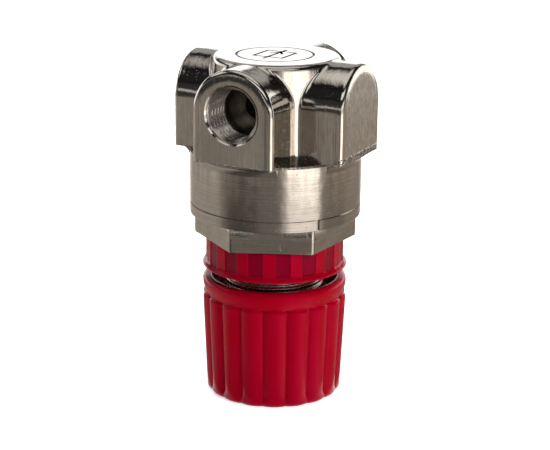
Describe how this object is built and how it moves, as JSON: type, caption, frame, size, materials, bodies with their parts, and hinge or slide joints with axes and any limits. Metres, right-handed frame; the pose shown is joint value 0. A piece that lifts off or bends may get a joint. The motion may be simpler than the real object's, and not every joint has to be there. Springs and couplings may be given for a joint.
{
  "type": "air pressure regulator",
  "caption": "Inline compressed-air pressure regulator: nickel-plated four-boss valve body, hexagonal bonnet with threaded stem, red lock ring and red fluted adjusting knob.",
  "frame": {"origin": "centre of the adjusting knob's flat end, which the regulator stands on", "axes": "+Z along the spring and valve axis, from the knob to the ports; -Y out of the inlet port, -X and +Y out of the outlet ports, +X out of the blank boss"},
  "size_m": [0.044, 0.044, 0.082],
  "materials": {
    "nickel_casting": "nickel-plated die casting, polished, slightly uneven",
    "nickel_turned": "nickel-plated, turned and threaded",
    "red_plastic": "glossy crimson moulding",
    "steel": "ground steel",
    "spring_steel": "drawn spring wire",
    "aluminium": "machined",
    "brass": "machined brass",
    "diaphragm_rubber": "fabric-reinforced nitrile sheet",
    "seal_rubber": "moulded nitrile",
    "slip_plastic": "smooth low-friction plastic"
  },
  "bodies": {
    "housing": {"valve_body": "nickel_casting", "bonnet": "nickel_turned", "slip_ring": "slip_plastic", "diaphragm": "diaphragm_rubber", "seat_bushing": "brass", "seat_o_ring": "seal_rubber", "poppet_spring": "spring_steel"},
    "ring_carrier": {"ring_washer": "steel"},
    "lock_ring": {"lock_ring": "red_plastic"},
    "spring_carrier": {"spring_cap": "steel", "thrust_ball": "steel", "main_spring": "spring_steel"},
    "knob": {"adjusting_knob": "red_plastic", "thrust_plate": "steel"},
    "diaphragm_stack": {"spring_follower": "aluminium", "diaphragm_washer": "aluminium", "relief_rivet": "brass"},
    "valve": {"poppet": "brass", "poppet_seal": "seal_rubber", "push_pin": "brass"}
  },
  "joints": [
    {"name": "lock_ring_travel", "type": "slide", "parent": "housing", "child": "ring_carrier", "axis": [0, 0, 1], "range_m": [-0.00112, 0]},
    {"name": "lock_ring_turn", "type": "hinge", "parent": "ring_carrier", "child": "lock_ring", "pos_m": [0, 0, 0.03495], "axis": [0, 0, 1], "range_deg": [-270, 0]},
    {"name": "knob_travel", "type": "slide", "parent": "housing", "child": "spring_carrier", "axis": [0, 0, 1], "range_m": [-0.0045, 0.001], "deforming": ["main_spring"]},
    {"name": "knob_turn", "type": "hinge", "parent": "spring_carrier", "child": "knob", "pos_m": [0, 0, 0.0142], "axis": [0, 0, 1], "range_deg": [-1080, 240]},
    {"name": "diaphragm_stroke", "type": "slide", "parent": "housing", "child": "diaphragm_stack", "axis": [0, 0, 1], "range_m": [0, 0.001], "deforming": ["diaphragm"]},
    {"name": "valve_lift", "type": "slide", "parent": "housing", "child": "valve", "axis": [0, 0, 1], "range_m": [0, 0.001], "deforming": ["poppet_spring"]}
  ],
  "couplings": [
    {"joint": "lock_ring_travel", "follows": "lock_ring_turn", "m_per_rad": 0.00023873},
    {"joint": "knob_travel", "follows": "knob_turn", "m_per_rad": 0.00023873},
    {"joint": "valve_lift", "follows": "diaphragm_stroke", "ratio": 1}
  ]
}
